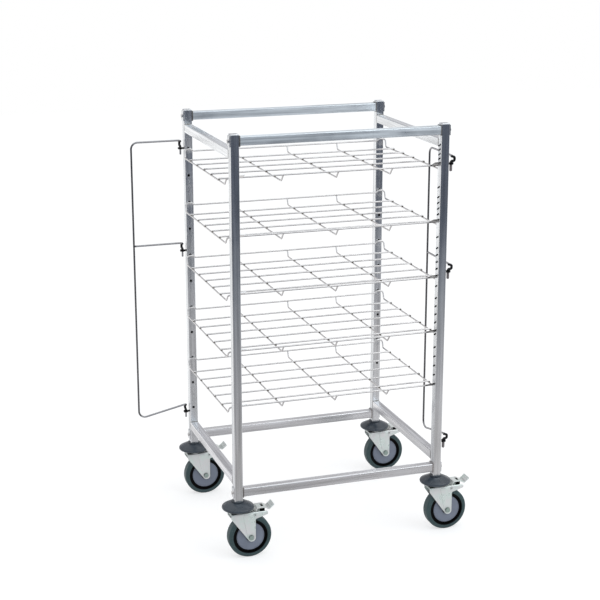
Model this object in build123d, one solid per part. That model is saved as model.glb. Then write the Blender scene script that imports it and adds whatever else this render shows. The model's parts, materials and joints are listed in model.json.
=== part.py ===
"""Tray rack trolley: four stainless posts on braked swivel casters, five hooked
wire shelves and two swinging wire gates.

Millimetres.  X runs to the right along the front, Y to the back, Z up.  The origin
is on the floor, midway between the four posts.
"""
import math
import os

from build123d import *

# Frame of square tube
frame_width = 650.0          # over the posts, left to right
frame_depth = 530.0          # over the posts, front to back
frame_height = 1250.0        # floor to the top of the caps
tube_side = 25.0
tube_wall = 1.5
tube_corner = 2.5            # outer corner radius of the tube
post_rise = 36.0             # lower end of the posts above the fork's bridge
cap_rise = 5.0               # cap above the end of the post
cap_plug = 12.0              # depth of the cap's plug in the post
cap_round = 3.0
plug_clearance = 0.2         # plugs in the tube, each side
top_rail_drop = 20.0         # top of the caps to the axis of the front and rear top rails
top_side_drop = 57.0         # the same to the axis of the top side rails
bottom_rail_rise = 25.5      # foot of the posts to the axis of the front and rear bottom rails
bottom_side_rise = 58.5      # the same to the axis of the bottom side rails

# Bolted rail ends
end_plate = 3.0              # plate welded into each end of a front or rear rail
plate_height = 30.0
plate_width = 22.0           # washer plate on the outer face of the post
washer_plate = 2.5
bolt_radius = 3.0
bolt_clearance = 0.2
bolt_head_flats = 10.0
bolt_head_height = 4.0
nut_height = 5.0
bolt_tail = 2.0              # bolt beyond its nut

# Wire shelves
shelf_count = 5
shelf_top_drop = 125.4       # top of the caps to the rim of the top shelf
shelf_pitch = 166.6
shelf_wire = 2.5             # radius
rim_gap = 8.0                # rim wires inside the posts' inner faces, front and rear
shelf_sag = 20.0             # floor of the shelf below its rim
side_offset = 3.0            # side wires outside the posts' outer faces
rim_corner = 10.0            # bend radius of the rim's corners
floor_bend = 8.0             # bend radius where a wire turns up to the rim
front_rise = 48.0            # degrees, slope of the wires up to the front rim
rear_rise = 68.0             # degrees, slope of the wires up to the rear rim
cross_count = 3
cross_spacing = 164.0
long_count = 5
long_spacing = 79.0
long_shift = 3.0             # middle of the long wires behind the middle of the rack
long_overhang = 2.0          # long wires past the axis of the side wires
joggle_rise = 6.0            # rear rim lifted to its hooks beside the posts
joggle_run = 10.0
hook_inset = 11.0            # rear hooks inside the post's outer face
hook_reach = 14.0            # rear hooks past the post's front face
hook_play = 1.5              # holes in the rear posts larger than the wire, on the radius
seat_gap = 0.2               # hooks and tongues above their seats
spare_hole_rows = 2          # hole rows below the lowest shelf

# Tongues of the shelves and their slots in the front posts
tongue_thick = 3.0
tongue_slope = 25.0          # degrees, the tongue rises to the front
tongue_inner = 17.0          # tongue inside the post's inner face
tongue_reach = 8.0           # tongue past the post's inner face
tongue_end_gap = 0.6         # tongue shorter than its slot at each end
slot_length = 18.5
slot_inset = 11.0            # middle of a slot before the rear face of the post
slot_play = 2.0              # slot higher than the tongue is thick
slot_rise = 9.3              # middle of a slot above the shelf's rim
slot_count = 6               # slots for each shelf
slot_step_top = 13.0         # step between the top shelf's slots
slot_step_growth = 3.9       # step added for each shelf below
slot_last_gap = 12.0         # last step longer than the others

# Wire gates
gate_wire = 3.0              # radius
gate_reach = 152.5           # pins to the upright wire
gate_offset = 11.0           # pins outside the post's outer face
gate_top_drop = 94.5         # top of the caps to the gate's top arm
gate_middle_drop = 320.0     # top arm to the middle arm
gate_bottom_drop = 848.0     # top arm to the bottom arm, at the pins
gate_corner_drop = 33.0      # bottom arm falls this far to its corner
gate_corner = 20.0           # bend radius of the outer corners
curl_out = 11.0              # bulge of the curl above each pin
curl_rise = 17.0             # foot of the curl below its arm
curl_shoulder = 6.0          # shoulder of the curl below its arm
curl_bend = 4.0
arm_bend = 8.0               # bend radius from the curl into the arm
pin_length = 43.0            # arm to the tip of its pin
eye_drop = 24.0              # middle of an eye below its arm
eye_wall = 4.5
eye_height = 5.0
eye_shank = 3.0              # radius
eye_root = 1.0               # shank runs this far into the ring
eye_clearance = 0.05         # pin in the eye
eye_tail = 5.0               # shank past the inside of the post wall
eye_collar = 5.0             # radius of the riveted collar inside the post
eye_collar_height = 2.0

# Bumper discs under the posts
bumper_radius = 47.5
bumper_rim_rise = 16.0       # middle of the rim above the fork's bridge
bumper_rim_round = 5.0
bumper_collar_edge = 0.3     # seat under the post past the post's corners
bumper_collar_height = 4.0
bumper_dome = 1.5            # crown above a straight cone
bumper_bottom_rise = 5.5     # lower edge above the fork's bridge
bumper_skirt = 31.0          # radius of the lower edge
bumper_recess = 28.0         # radius of the hollow round the swivel head

# Swivel head and stem
stem_radius = 6.0
stem_plug = 45.0             # plug of the stem in the post
stem_bore = 0.2              # bumper on the stem
race_radius = 26.0
race_rise = 10.0             # top of the fixed race above the fork's bridge
race_height = 3.2
bearing_ring = 1.2           # slip ring between the races
bearing_ring_in = 12.0
bearing_ring_out = 22.0
swivel_gap = 0.3             # between the ring and the turning race
king_pin = 5.0               # radius
king_pin_fit = 0.05
rivet_radius = 9.0
rivet_height = 3.5

# Fork
trail = 33.0                 # wheel axle behind the swivel axis
fork_half = 22.0             # outer faces of the cheeks
fork_sheet = 3.0
wheel_clearance = 8.0        # tyre to the bridge of the fork
fork_bridge = 4.0
fork_round = 4.0
fork_front = 26.0            # front end before the swivel axis
fork_front_drop = 14.0       # height of the front edge
fork_bridge_end = 36.0       # bridge ends this far behind the swivel axis
arm_end = 85.0               # cheeks' arms for the pedal
arm_height = 10.0
leg_rear = 14.0              # leg's rear edge behind the axle
leg_foot = 14.0              # leg's end below the axle
leg_front = 14.0             # leg's front edge before the axle
leg_round = 11.0
arm_root = 21.0              # arm's lower edge below the bridge at the leg
panel_drop = 5.0             # panel pressed out of each cheek, below the bridge
panel_front_top = 25.0       # panel's front edge before the axle, at its top
panel_front_foot = 8.0       # the same at its foot
panel_rear = 9.0             # panel's rear edge behind the axle
panel_foot = 10.0            # panel's end below the axle
panel_round = 8.0
panel_proud = 1.0
panel_bevel = 0.8

# Wheel
wheel_radius = 65.0
tyre_half = 16.0
tyre_round = 6.0
rim_radius = 50.7
rim_half = 12.5
rim_wall = 8.4
web_half = 4.0
hub_radius = 13.0
hub_gap = 0.4                # hub to each cheek
cover_radius = 42.0
cover_half = 14.0            # edge of a cover from the middle of the wheel
cover_thick = 1.6
cover_dome = 2.0             # cover's middle stands proud of its edge
cover_eye = 14.0             # radius of the hole round the hub
axle_radius = 5.0
axle_fit = 0.05
axle_head_flats = 13.0
axle_head_height = 5.0
axle_nut_flats = 15.0
axle_nut_height = 6.0

# Brake pedal
pedal_back = 46.0            # pivot behind the swivel axis
pedal_pivot_drop = 8.0       # pivot below the fork's bridge
pedal_pin = 3.0
pedal_pin_fit = 0.05
pedal_bore = 1.8             # radius of the hole through the hollow pin
pedal_rivet = 3.9            # radius of the pin's rolled ends
pedal_rivet_height = 0.8
pedal_barrel = 4.0
pedal_half = 18.0
pedal_sheet = 2.5
pedal_crown = 18.0           # top of the hood above the pivot
pedal_hood_start = 8.0       # hood behind the pivot
pedal_hood_end = 31.0
pedal_window_start = 21.5    # window in the hood behind the pivot
pedal_window_end = 28.5
pedal_window_half = 9.0
pedal_dip = 11.0             # lowest point of the tread above the pivot
pedal_dip_back = 44.0
pedal_tip = 24.0             # tip of the tread above the pivot
pedal_tip_back = 59.0
pedal_bend = 3.0
pedal_rib_count = 3          # grip ribs across the end of the tread
pedal_rib = 0.9              # radius
shoe_back = 8.0              # brake shoe behind the pivot
shoe_length = 12.0
shoe_half = 10.0
shoe_gap = 4.5               # shoe to the tyre when the brake is off

# Places worked out from the sizes above
post_x = (frame_width - tube_side) / 2
post_y = (frame_depth - tube_side) / 2
inner_x = frame_width / 2 - tube_side
inner_y = frame_depth / 2 - tube_side
fork_top = 2 * wheel_radius + wheel_clearance + fork_bridge
post_foot = fork_top + post_rise
post_top = frame_height - cap_rise
top_rail_z = frame_height - top_rail_drop
top_side_z = frame_height - top_side_drop
bottom_rail_z = post_foot + bottom_rail_rise
bottom_side_z = post_foot + bottom_side_rise
side_x = frame_width / 2 + side_offset
gate_x = frame_width / 2 + gate_offset
rail_bolt_heights = (bottom_rail_z, top_rail_z)
shelf_top_rim = frame_height - shelf_top_drop
shelf_rims = [shelf_top_rim - shelf_pitch * k for k in range(shelf_count)]
shelf_half_depth = inner_y - rim_gap
hook_hole = shelf_wire + hook_play
hole_rise = joggle_rise + hook_play - seat_gap
slot_height = tongue_thick + slot_play
tongue_drop = slot_play / 2 - seat_gap
slot_y = -inner_y - slot_inset
gate_top = frame_height - gate_top_drop
gate_middle = gate_top - gate_middle_drop
gate_bottom = gate_top - gate_bottom_drop
gate_arms = (gate_top, gate_middle, gate_bottom)
eye_radius = gate_wire + eye_wall
bumper_rim_z = fork_top + bumper_rim_rise
bumper_bottom_z = fork_top + bumper_bottom_rise
bumper_collar = tube_side / math.sqrt(2) + bumper_collar_edge
race_top = fork_top + race_rise
race_bottom = race_top - race_height
ring_bottom = race_bottom - bearing_ring
head_top = ring_bottom - swivel_gap
pedal_pivot_z = fork_top - pedal_pivot_drop
front, rear, left, right = -1, 1, -1, 1
corners = [(x, y) for y in (front, rear) for x in (left, right)]
corner_names = ["front_left", "front_right", "rear_left", "rear_right"]


def save(shape, node):
    """Write one node's file."""
    export_step(shape, f"parts/{node}.step")


def group(solids):
    """Several separate solids as one node."""
    return Compound(children=list(solids))


def square_tube(length):
    """Hollow tube with rounded corners, standing on Z = 0."""
    bore = tube_side - 2 * tube_wall
    outer = RectangleRounded(tube_side, tube_side, tube_corner)
    inner = RectangleRounded(bore, bore, tube_corner - tube_wall)
    return extrude(outer - inner, length)


def rod_x(radius, length, x, y, z):
    """Round bar along X with its middle at the given place."""
    return Pos(x, y, z) * Rot(0, 90, 0) * Cylinder(radius, length)


def rod_y(radius, length, x, y, z):
    """Round bar along Y with its middle at the given place."""
    return Pos(x, y, z) * Rot(90, 0, 0) * Cylinder(radius, length)


def bent_wire(points, radius, bends):
    """Round wire along straight runs joined by arcs."""
    path = FilletPolyline(*points, radius=bends)
    section = Plane(origin=path @ 0, z_dir=path % 0) * Circle(radius)
    return sweep(section, path=path)


def slot_heights(shelf):
    """Middles of the slots that take one shelf's tongue."""
    step = slot_step_top + slot_step_growth * shelf
    first = shelf_rims[shelf] + slot_rise
    heights = [first + step * n for n in range(slot_count)]
    heights[-1] += slot_last_gap
    slope = math.radians(tongue_slope)
    half_rise = (slot_height * math.cos(slope) + slot_length * math.sin(slope)) / 2
    limit = top_rail_z - plate_height / 2 - half_rise
    return [z for z in heights if z < limit]


def hole_heights():
    """Middles of the hook holes, at half the shelf pitch."""
    rows = 2 * shelf_count - 1 + spare_hole_rows
    return [shelf_top_rim + hole_rise - shelf_pitch / 2 * n for n in range(rows)]


def post(side, end):
    """Post with its bolt holes and the slots or holes that carry the shelves."""
    body = Pos(side * post_x, end * post_y, post_foot) * square_tube(post_top - post_foot)
    hole = bolt_radius + bolt_clearance
    cuts = [rod_x(hole, 2 * tube_side, side * post_x, end * post_y, z) for z in rail_bolt_heights]
    if end == front:
        slot = Rot(-tongue_slope, 0, 0) * Box(3 * tube_wall, slot_length, slot_height)
        wall_x = side * (inner_x + tube_wall / 2)
        for shelf in range(shelf_count):
            cuts += [Pos(wall_x, slot_y, z) * slot for z in slot_heights(shelf)]
    else:
        hook_x = side * (frame_width / 2 - hook_inset)
        wall_y = inner_y + tube_wall / 2
        cuts += [rod_y(hook_hole, 3 * tube_wall, hook_x, wall_y, z) for z in hole_heights()]
    if side * end < 0:
        return body - cuts - gate_eye_holes(side)
    return body - cuts


def gate_eye_holes(side):
    """Bores for the gate's eyes in the outer face of the post that carries the gate."""
    wall_x = side * (frame_width / 2 - tube_wall / 2)
    bore = eye_shank + eye_clearance
    return [rod_x(bore, 3 * tube_wall, wall_x, -side * post_y, z - eye_drop) for z in gate_arms]


def cross_rail(end, z):
    """Front or rear rail: a tube closed by a drilled plate at each end."""
    length = 2 * (inner_x - end_plate)
    rail = Pos(-length / 2, end * post_y, z) * Rot(0, 90, 0) * square_tube(length)
    for side in (left, right):
        middle = side * (inner_x - end_plate / 2)
        plate = Pos(middle, end * post_y, z) * Box(end_plate, tube_side, plate_height)
        hole = rod_x(bolt_radius + bolt_clearance, 2 * end_plate, middle, end * post_y, z)
        rail = rail + plate - hole
    return rail


def side_rail(side, z):
    """Side rail: a plain tube welded between the front and the rear post."""
    return Pos(side * post_x, inner_y, z) * Rot(90, 0, 0) * square_tube(2 * inner_y)


def tube_plug(length):
    """Square plug that slips into the tube, standing on Z = 0."""
    side = tube_side - 2 * tube_wall - 2 * plug_clearance
    return extrude(RectangleRounded(side, side, tube_corner - tube_wall), length)


def post_cap():
    """Domed cap with a square plug, its seat at Z = 0."""
    top = extrude(RectangleRounded(tube_side, tube_side, tube_corner), cap_rise)
    top = fillet(top.faces().sort_by(Axis.Z)[-1].edges(), cap_round)
    return top + Pos(0, 0, -cap_plug) * tube_plug(cap_plug)


def hexagon_x(height):
    """Hexagon of the rail bolts along X, from X = 0."""
    flats = RegularPolygon(bolt_head_flats / 2, 6, major_radius=False)
    return Rot(0, 90, 0) * extrude(flats, height)


def rail_joints():
    """Bolts, washer plates and nuts of the eight rail ends."""
    bolts, plates, nuts = [], [], []
    face = frame_width / 2
    nut_x = inner_x - end_plate - nut_height / 2
    shank_end = nut_x - nut_height / 2 - bolt_tail
    head_x = face + washer_plate
    plate_shape = Box(washer_plate, plate_width, plate_height)
    head = hexagon_x(bolt_head_height)
    nut = hexagon_x(nut_height)
    for x, y in corners:
        turn = Rot(0, 0, 0 if x == right else 180)
        for z in rail_bolt_heights:
            place = Pos(0, y * post_y, z) * turn
            shank = rod_x(bolt_radius, head_x - shank_end, (head_x + shank_end) / 2, 0, 0)
            bolts.append(place * (shank + Pos(head_x, 0, 0) * head))
            hole = rod_x(bolt_radius + bolt_clearance, 2 * washer_plate, face, 0, 0)
            plates.append(place * (Pos(face + washer_plate / 2, 0, 0) * plate_shape - hole))
            bore = rod_x(bolt_radius, 2 * nut_height, nut_x, 0, 0)
            nuts.append(place * (Pos(nut_x - nut_height / 2, 0, 0) * nut - bore))
    return bolts, plates, nuts


def cross_wire(x, rim):
    """Shelf wire from the rear rim down to the floor, forward and up to the front rim."""
    rear_leg = Vector(0, -math.cos(math.radians(rear_rise)), -math.sin(math.radians(rear_rise)))
    front_leg = Vector(0, math.cos(math.radians(front_rise)), -math.sin(math.radians(front_rise)))
    rear_rim = Vector(x, shelf_half_depth, rim)
    front_rim = Vector(x, -shelf_half_depth, rim)
    points = [
        rear_rim + rear_leg * shelf_wire,
        rear_rim + rear_leg * (shelf_sag / math.sin(math.radians(rear_rise))),
        front_rim + front_leg * (shelf_sag / math.sin(math.radians(front_rise))),
        front_rim + front_leg * shelf_wire,
    ]
    return bent_wire(points, shelf_wire, floor_bend)


def side_wire(side, rim):
    """Side of the shelf: the same dip as a cross wire, with a corner into each rim."""
    x = side * side_x
    butt_x = side * (side_x - rim_corner - shelf_wire)
    floor = rim - shelf_sag
    rear_foot = shelf_half_depth - shelf_sag / math.tan(math.radians(rear_rise))
    front_foot = shelf_sag / math.tan(math.radians(front_rise)) - shelf_half_depth
    points = [
        (butt_x, shelf_half_depth, rim + joggle_rise),
        (x, shelf_half_depth, rim + joggle_rise),
        (x, rear_foot, floor),
        (x, front_foot, floor),
        (x, -shelf_half_depth, rim),
        (butt_x, -shelf_half_depth, rim),
    ]
    return bent_wire(points, shelf_wire, [rim_corner, floor_bend, floor_bend, rim_corner])


def rear_rim_wire(rim):
    """Rear rim, lifted at both ends to the height of its hooks."""
    end = side_x - rim_corner - shelf_wire
    lifted = frame_width / 2 - hook_inset - 2 * shelf_wire
    outline = [(-end, joggle_rise), (-lifted, joggle_rise), (-lifted + joggle_run, 0)]
    outline += [(-x, z) for x, z in reversed(outline)]
    points = [(x, shelf_half_depth, rim + z) for x, z in outline]
    return bent_wire(points, shelf_wire, floor_bend)


def shelf_tongue(side, rim):
    """Flat tongue on the front rim, reaching through a sloping slot of the post."""
    slope = math.radians(tongue_slope)
    back = (slot_y + shelf_half_depth + shelf_wire) / math.cos(slope)
    half = slot_length / 2 - tongue_end_gap
    root = inner_x - tongue_inner
    neck = inner_x - seat_gap
    tip = inner_x + tongue_reach
    outline = Polyline((root, -half), (tip, -half), (tip, half), (neck, half), (neck, -back),
                       (root, -back), close=True)
    plate = extrude(make_face(outline), tongue_thick / 2, both=True)
    placed = Pos(0, slot_y, rim + slot_rise - tongue_drop) * Rot(-tongue_slope, 0, 0) * plate
    return placed if side == right else mirror(placed, Plane.YZ)


def shelf(rim):
    """One wire shelf: rims, sides, cross wires, long wires, hooks and tongues."""
    rim_length = 2 * (side_x - rim_corner - shelf_wire)
    pieces = [rod_x(shelf_wire, rim_length, 0, -shelf_half_depth, rim), rear_rim_wire(rim)]
    pieces += [side_wire(side, rim) for side in (left, right)]
    pieces += [cross_wire(cross_spacing * (n - (cross_count - 1) / 2), rim) for n in range(cross_count)]
    long_z = rim - shelf_sag + 2 * shelf_wire
    long_length = 2 * (side_x + long_overhang)
    for n in range(long_count):
        y = long_shift + long_spacing * (n - (long_count - 1) / 2)
        pieces.append(rod_x(shelf_wire, long_length, 0, y, long_z))
    hook_start = shelf_half_depth + shelf_wire
    hook_end = inner_y + hook_reach
    for side in (left, right):
        hook_x = side * (frame_width / 2 - hook_inset)
        middle = (hook_start + hook_end) / 2
        pieces.append(rod_y(shelf_wire, hook_end - hook_start, hook_x, middle, rim + joggle_rise))
        pieces.append(shelf_tongue(side, rim))
    return group(pieces)


def pin_and_curl(arm):
    """Path of a pin and its curl, from the pin's tip up to the start of the arm."""
    foot = arm - curl_rise
    shoulder = arm - curl_shoulder
    return [(0, 0, arm - pin_length), (0, 0, foot), (0, -curl_out, foot), (0, -curl_out, shoulder), (0, 0, arm)]


def gate():
    """Wire gate about its pins at X = Y = 0, arms along X, curls against Y."""
    top_corner = (gate_reach, 0, gate_top)
    bottom_corner = (gate_reach, 0, gate_bottom - gate_corner_drop)
    outline = pin_and_curl(gate_top) + [top_corner, bottom_corner] + pin_and_curl(gate_bottom)[::-1]
    curl_bends = [curl_bend] * 3 + [arm_bend]
    bends = curl_bends + [gate_corner] * 2 + curl_bends[::-1]
    outer = bent_wire(outline, gate_wire, bends)
    arm_end_point = (gate_reach - gate_wire, 0, gate_middle)
    middle = bent_wire(pin_and_curl(gate_middle) + [arm_end_point], gate_wire, curl_bends)
    return group([outer, middle])


def gate_eyes(side):
    """Three eyes riveted into the post that carries the gate on this side."""
    eyes = []
    wall_inside = frame_width / 2 - tube_wall
    shank_start = gate_x - eye_radius + eye_root
    shank_end = wall_inside - eye_tail
    collar_x = wall_inside - eye_collar_height / 2
    ring = Cylinder(eye_radius, eye_height) - Cylinder(gate_wire + eye_clearance, eye_height)
    shank = rod_x(eye_shank, shank_start - shank_end, (shank_start + shank_end) / 2, 0, 0)
    collar = rod_x(eye_collar, eye_collar_height, collar_x, 0, 0)
    eye = Pos(gate_x, 0, 0) * ring + shank + collar
    turn = Rot(0, 0, 0 if side == right else 180)
    for arm in gate_arms:
        eyes.append(Pos(0, -side * post_y, arm - eye_drop) * turn * eye)
    return eyes


def bumper():
    """Round bumper under a post, hollow below round the swivel head."""
    bore = stem_radius + stem_bore
    rim_r = bumper_radius - bumper_rim_round
    collar_z = post_foot - bumper_collar_height
    upper = bumper_rim_z + bumper_rim_round
    lower = bumper_rim_z - bumper_rim_round
    crown = ((rim_r + bumper_collar) / 2, (upper + collar_z) / 2 + bumper_dome)
    outline = [
        Polyline((rim_r, lower), (bumper_skirt, bumper_bottom_z), (bumper_recess, bumper_bottom_z),
                 (bumper_recess, race_top), (bore, race_top), (bore, post_foot), (bumper_collar, post_foot),
                 (bumper_collar, collar_z)),
        ThreePointArc((bumper_collar, collar_z), crown, (rim_r, upper)),
        ThreePointArc((rim_r, upper), (bumper_radius, bumper_rim_z), (rim_r, lower)),
    ]
    return revolve(Plane.XZ * make_face(outline), Axis.Z)


def stem():
    """Stem plugged into a post, with the fixed race and the riveted king pin."""
    plug = Pos(0, 0, post_foot) * tube_plug(stem_plug)
    plug -= rod_x(bolt_radius + bolt_clearance, tube_side, 0, 0, bottom_rail_z)
    rivet_top = fork_top - fork_bridge - swivel_gap
    rivet_bottom = rivet_top - rivet_height
    outline = Polyline(
        (0, rivet_bottom), (rivet_radius, rivet_bottom), (rivet_radius, rivet_top), (king_pin, rivet_top),
        (king_pin, race_bottom), (race_radius, race_bottom), (race_radius, race_top), (stem_radius, race_top),
        (stem_radius, post_foot), (0, post_foot), close=True)
    return revolve(Plane.XZ * make_face(outline), Axis.Z) + plug


def slip_ring():
    """Flat ring between the fixed race and the turning one."""
    ring = Cylinder(bearing_ring_out, bearing_ring) - Cylinder(bearing_ring_in, bearing_ring)
    return Pos(0, 0, ring_bottom + bearing_ring / 2) * ring


def fork_side():
    """Side view of the fork: bridge, pedal arm and a leg tapering to the axle."""
    foot = wheel_radius - leg_foot
    leg_back = trail + leg_rear
    front_low = fork_top - fork_front_drop
    slope = (trail - leg_front + fork_front) / (front_low - wheel_radius)
    toe = slope * (front_low - foot) - fork_front
    points = [(-fork_front, fork_top), (arm_end, fork_top), (arm_end, fork_top - arm_height),
              (leg_back, fork_top - arm_root), (leg_back, foot), (toe, foot), (-fork_front, front_low)]
    rounds = [fork_round] * 4 + [leg_round] * 2 + [fork_round]
    return make_face(FilletPolyline(*points, radius=rounds, close=True))


def channel(width, top, corner):
    """Long bar along X with rounded upper edges, reaching down past the floor."""
    height = 2 * fork_top
    section = Plane.YZ * Pos(0, top - height / 2) * RectangleRounded(width, height, corner)
    return extrude(section, 2 * arm_end, both=True)


def cheek_panel():
    """Panel pressed out of both cheeks, from the bridge down round the axle."""
    top = fork_top - panel_drop
    foot = wheel_radius - panel_foot
    points = [(trail - panel_front_top, top), (trail + panel_rear, top), (trail + panel_rear, foot),
              (trail - panel_front_foot, foot)]
    rounds = [fork_round, fork_round, panel_round, panel_round]
    outline = make_face(FilletPolyline(*points, radius=rounds, close=True))
    panel = extrude(Plane.XZ * outline, fork_half + panel_proud, both=True)
    return chamfer(panel.faces().filter_by(Axis.Y).edges(), panel_bevel)


def fork():
    """Pressed fork: a channel over the wheel with panelled cheeks, and the turning race."""
    cheek_gap = 2 * (fork_half - fork_sheet)
    body = extrude(Plane.XZ * fork_side(), fork_half, both=True)
    body &= channel(2 * fork_half, fork_top, fork_round)
    body -= channel(cheek_gap, fork_top - fork_bridge, fork_round - fork_sheet)
    body -= Pos(fork_bridge_end + arm_end / 2, 0, fork_top) * Box(arm_end, cheek_gap, 3 * fork_bridge)
    body += cheek_panel() - Box(2 * frame_width, cheek_gap, 2 * frame_height)
    head_height = head_top - fork_top
    body += Pos(0, 0, fork_top + head_height / 2) * Cone(race_radius - head_height, race_radius, head_height)
    body -= Pos(0, 0, fork_top) * Cylinder(king_pin + king_pin_fit, 4 * fork_bridge)
    body -= rod_y(axle_radius + bolt_clearance, 3 * fork_half, trail, 0, wheel_radius)
    body -= rod_y(pedal_pin + pedal_pin_fit, 3 * fork_half, pedal_back, 0, pedal_pivot_z)
    return body


def turned(outline):
    """Solid turned about the wheel's axle from an outline of radius and width."""
    solid = revolve(Plane.XZ * make_face(outline), Axis.Z)
    return Pos(trail, 0, wheel_radius) * Rot(90, 0, 0) * solid


def tyre():
    """Tyre with rounded shoulders."""
    tread = FilletPolyline((rim_radius, -tyre_half), (wheel_radius, -tyre_half), (wheel_radius, tyre_half),
                           (rim_radius, tyre_half), radius=tyre_round)
    return turned([tread, Line((rim_radius, tyre_half), (rim_radius, -tyre_half))])


def wheel_core():
    """Wheel centre: rim, web and long hub."""
    bore = axle_radius + axle_fit
    hub_half = fork_half - fork_sheet - hub_gap
    rim_in = rim_radius - rim_wall
    half = [(bore, hub_half), (hub_radius, hub_half), (hub_radius, web_half),
            (rim_in, web_half), (rim_in, rim_half), (rim_radius, rim_half)]
    other = [(r, -y) for r, y in reversed(half)]
    return turned(Polyline(*half, *other, close=True))


def wheel_covers():
    """Shallow cover on each face of the wheel, open round the hub."""
    covers = []
    for end in (front, rear):
        edge = end * cover_half
        middle = end * (cover_half + cover_dome)
        step = end * cover_thick
        outline = Polyline((cover_eye, middle - step), (cover_radius, edge - step), (cover_radius, edge),
                           (cover_eye, middle), close=True)
        covers.append(turned(outline))
    return covers


def axle():
    """Axle bolt through the fork, and its nut on the rear cheek."""
    seat = fork_half + panel_proud
    bolt_end = seat + axle_nut_height + bolt_tail
    shank = rod_y(axle_radius, bolt_end + seat, trail, (bolt_end - seat) / 2, wheel_radius)
    head_shape = extrude(RegularPolygon(axle_head_flats / 2, 6, major_radius=False), axle_head_height)
    head = Pos(trail, -seat, wheel_radius) * Rot(90, 0, 0) * head_shape
    nut_outline = RegularPolygon(axle_nut_flats / 2, 6, major_radius=False) - Circle(axle_radius)
    nut = Pos(trail, seat, wheel_radius) * Rot(-90, 0, 0) * extrude(nut_outline, axle_nut_height)
    return [shank + head, nut]


def pedal_ribs():
    """Grip ribs half sunk in the upper face of the tread's raised end."""
    rise = Vector(pedal_tip_back - pedal_dip_back, 0, pedal_tip - pedal_dip)
    lift = Vector(-rise.Z, 0, rise.X).normalized() * (pedal_sheet / 2)
    start = Vector(pedal_dip_back, 0, pedal_dip) + lift
    ribs = []
    for n in range(1, pedal_rib_count + 1):
        spot = start + rise * (n / pedal_rib_count)
        ribs.append(rod_y(pedal_rib, 2 * pedal_half, spot.X, 0, spot.Z))
    return ribs


def brake_pedal():
    """Pressed pedal with a window, on its hollow pin, with the shoe that stops the tyre."""
    pivot = Pos(pedal_back, 0, pedal_pivot_z)
    path = FilletPolyline((0, 0, 0), (pedal_hood_start, 0, pedal_crown), (pedal_hood_end, 0, pedal_crown),
                          (pedal_dip_back, 0, pedal_dip), (pedal_tip_back, 0, pedal_tip), radius=pedal_bend)
    start = Plane(origin=path @ 0, x_dir=(0, 1, 0), z_dir=path % 0)
    sheet = sweep(start * Rectangle(2 * pedal_half, pedal_sheet), path=path)
    window = Box(pedal_window_end - pedal_window_start, 2 * pedal_window_half, 2 * pedal_sheet)
    sheet -= Pos((pedal_window_start + pedal_window_end) / 2, 0, pedal_crown) * window
    head_in = fork_half + swivel_gap
    pin = rod_y(pedal_pin, 2 * head_in, 0, 0, 0) + rod_y(pedal_barrel, 2 * pedal_half, 0, 0, 0)
    for end in (front, rear):
        pin += rod_y(pedal_rivet, pedal_rivet_height, 0, end * (head_in + pedal_rivet_height / 2), 0)
    shoe_low = pedal_pivot_z - wheel_radius
    shoe = Pos(shoe_back + shoe_length / 2, 0, (pedal_crown - shoe_low) / 2)
    shoe = shoe * Box(shoe_length, 2 * shoe_half, pedal_crown + shoe_low)
    shoe -= rod_y(wheel_radius + shoe_gap, 3 * fork_half, trail - pedal_back, 0, wheel_radius - pedal_pivot_z)
    bore = rod_y(pedal_bore, 3 * fork_half, 0, 0, 0)
    return pivot * (sheet + pin + shoe + pedal_ribs() - bore)


def build_frame():
    """Posts, rails and what fastens them."""
    for (x, y), name in zip(corners, corner_names):
        save(post(x, y), f"post_{name}")
    for end, end_name in ((front, "front"), (rear, "rear")):
        save(cross_rail(end, top_rail_z), f"rail_top_{end_name}")
        save(cross_rail(end, bottom_rail_z), f"rail_bottom_{end_name}")
    for side, side_name in ((left, "left"), (right, "right")):
        save(side_rail(side, top_side_z), f"rail_top_{side_name}")
        save(side_rail(side, bottom_side_z), f"rail_bottom_{side_name}")
    save(group(Pos(x * post_x, y * post_y, post_top) * post_cap() for x, y in corners), "post_caps")
    bolts, plates, nuts = rail_joints()
    save(group(bolts), "rail_bolts")
    save(group(plates), "washer_plates")
    save(group(nuts), "rail_nuts")


def build_shelves_and_gates():
    """Shelves from the top down, the open left gate and the closed right gate."""
    for number, rim in enumerate(shelf_rims, 1):
        save(shelf(rim), f"shelf_{number}")
    save(Pos(-gate_x, post_y, 0) * Rot(0, 0, 180) * gate(), "gate_left")
    save(Pos(gate_x, -post_y, 0) * Rot(0, 0, 90) * gate(), "gate_right")
    save(group(gate_eyes(left)), "gate_eyes_left")
    save(group(gate_eyes(right)), "gate_eyes_right")


def build_casters():
    """Four like casters, all trailing to the right."""
    places = [Pos(x * post_x, y * post_y, 0) for x, y in corners]
    save(group(place * bumper() for place in places), "bumpers")
    save(group(place * slip_ring() for place in places), "swivel_rings")
    singles = {"caster_stem": stem(), "fork": fork(), "tyre": tyre(), "wheel": wheel_core(),
               "brake_pedal": brake_pedal()}
    groups = {"axle": axle(), "wheel_covers": wheel_covers()}
    for place, name in zip(places, corner_names):
        for piece, shape in singles.items():
            save(place * shape, f"{piece}_{name}")
        for piece, shapes in groups.items():
            save(group(place * shape for shape in shapes), f"{piece}_{name}")


os.makedirs("parts", exist_ok=True)
build_frame()
build_shelves_and_gates()
build_casters()
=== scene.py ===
"""Finishes, welds and small fittings of a stainless tray rack trolley, with a pale studio round it."""
import json

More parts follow.
